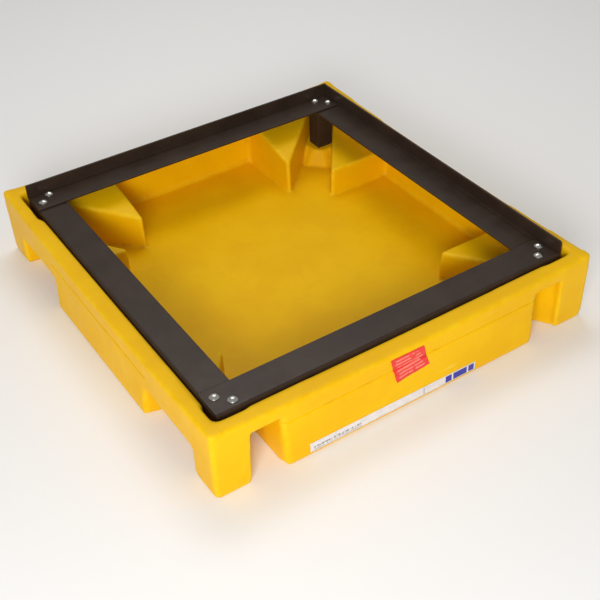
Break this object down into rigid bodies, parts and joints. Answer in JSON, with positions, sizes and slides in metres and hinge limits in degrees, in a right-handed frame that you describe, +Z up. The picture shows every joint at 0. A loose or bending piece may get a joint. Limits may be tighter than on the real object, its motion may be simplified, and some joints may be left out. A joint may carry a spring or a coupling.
{
  "type": "spill containment pallet",
  "caption": "Low square spill pallet: a moulded plastic sump with corner feet and fork pockets, carrying a bolted steel angle frame that lifts out.",
  "frame": {"origin": "on the floor, under the middle of the basin's rim", "axes": "+X to the right-hand side and +Y to the back, seen from the side with the labels; +Z up"},
  "size_m": [0.95, 1, 0.19],
  "materials": {
    "basin_plastic": "moulded polyethylene, soft sheen",
    "frame_paint": "dark baked paint, semi-gloss",
    "zinc_fastener": "bright zinc plate",
    "warning_label": "printed vinyl",
    "information_label": "printed vinyl"
  },
  "bodies": {
    "basin": {"basin": "basin_plastic", "warning_label": "warning_label", "information_label": "information_label"},
    "support_frame": {"front_rail": "frame_paint", "back_rail": "frame_paint", "left_rail": "frame_paint", "right_rail": "frame_paint", "front_left_post": "frame_paint", "front_left_plate": "frame_paint", "front_left_bolts": "zinc_fastener", "front_left_washers": "zinc_fastener", "front_left_nuts": "zinc_fastener", "front_right_post": "frame_paint", "front_right_plate": "frame_paint", "front_right_bolts": "zinc_fastener", "front_right_washers": "zinc_fastener", "front_right_nuts": "zinc_fastener", "back_left_post": "frame_paint", "back_left_plate": "frame_paint", "back_left_bolts": "zinc_fastener", "back_left_washers": "zinc_fastener", "back_left_nuts": "zinc_fastener", "back_right_post": "frame_paint", "back_right_plate": "frame_paint", "back_right_bolts": "zinc_fastener", "back_right_washers": "zinc_fastener", "back_right_nuts": "zinc_fastener"}
  },
  "joints": [
    {"name": "frame_lift", "type": "slide", "parent": "basin", "child": "support_frame", "axis": [0, 0, 1], "range_m": [0, 0.2]}
  ]
}
